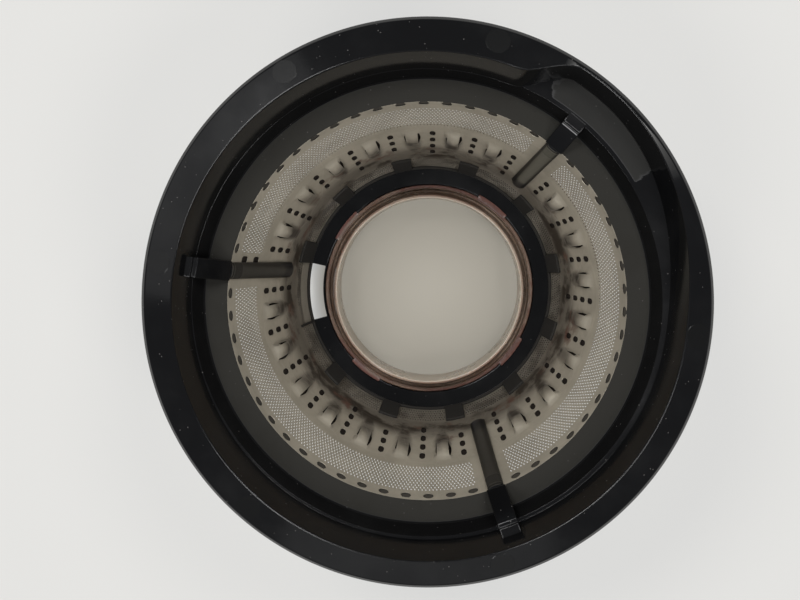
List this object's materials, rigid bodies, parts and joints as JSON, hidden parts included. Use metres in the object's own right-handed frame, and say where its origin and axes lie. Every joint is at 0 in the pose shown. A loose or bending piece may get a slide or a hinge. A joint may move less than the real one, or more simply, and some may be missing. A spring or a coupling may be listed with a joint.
{
  "type": "juicer strainer basket",
  "caption": "Conical strainer basket of an upright juicer: black moulded frame with a wide flanged mouth, perforated steel cone, soft seal ring in the centre hole and a waste outlet in the floor.",
  "frame": {"origin": "on the basket's axis, in the plane of the foot that it stands on", "axes": "+Z along the axis from the foot up to the wide mouth; one inner rib lies in the -X direction"},
  "size_m": [0.128, 0.128, 0.0911],
  "materials": {
    "black_plastic": "glossy black moulding, dusty and lightly scratched",
    "steel": "dull etched stainless steel with light brown stains",
    "silicone": "translucent silicone, stained pinkish brown"
  },
  "bodies": {
    "root": {"frame": "black_plastic", "screen": "steel", "seal_ring": "silicone"}
  },
  "joints": []
}
